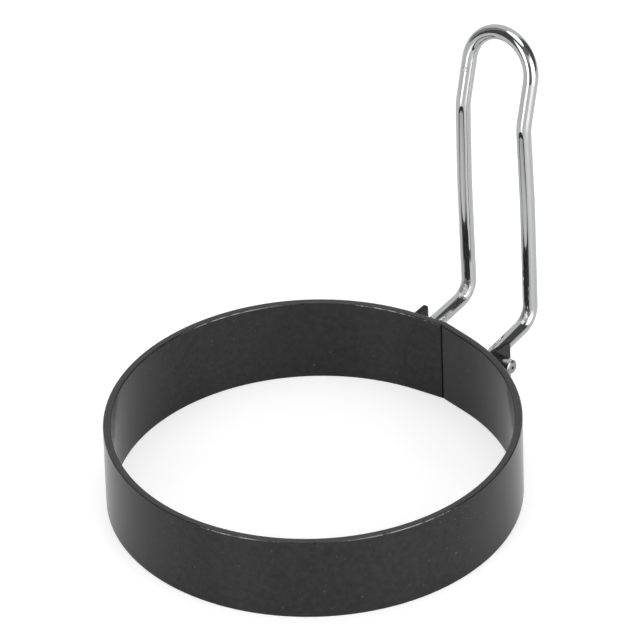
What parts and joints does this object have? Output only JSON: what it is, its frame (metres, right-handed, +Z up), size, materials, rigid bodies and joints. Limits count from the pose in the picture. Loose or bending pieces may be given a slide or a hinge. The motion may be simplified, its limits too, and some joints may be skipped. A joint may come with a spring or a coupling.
{
  "type": "egg ring",
  "caption": "Round coated steel ring that shapes an egg in a pan, with a bent wire handle that folds inward over the ring on a hinge bracket.",
  "frame": {"origin": "on the ring's axis, on the surface that the ring stands on", "axes": "+Z up along the ring's axis; +Y from the ring's axis towards the handle; X along the handle's hinge axis"},
  "size_m": [0.09, 0.1143, 0.0844],
  "materials": {
    "nonstick_coating": "satin black non-stick coating on steel",
    "plated_wire": "bright chrome plate on drawn steel wire"
  },
  "bodies": {
    "ring": {"ring_band": "nonstick_coating", "handle_bracket": "nonstick_coating"},
    "handle": {"wire_handle": "plated_wire"}
  },
  "joints": [
    {"name": "handle_hinge", "type": "hinge", "parent": "ring", "child": "handle", "pos_m": [0, 0.0495, 0.01165], "axis": [1, 0, 0], "range_deg": [-57, 103]}
  ]
}
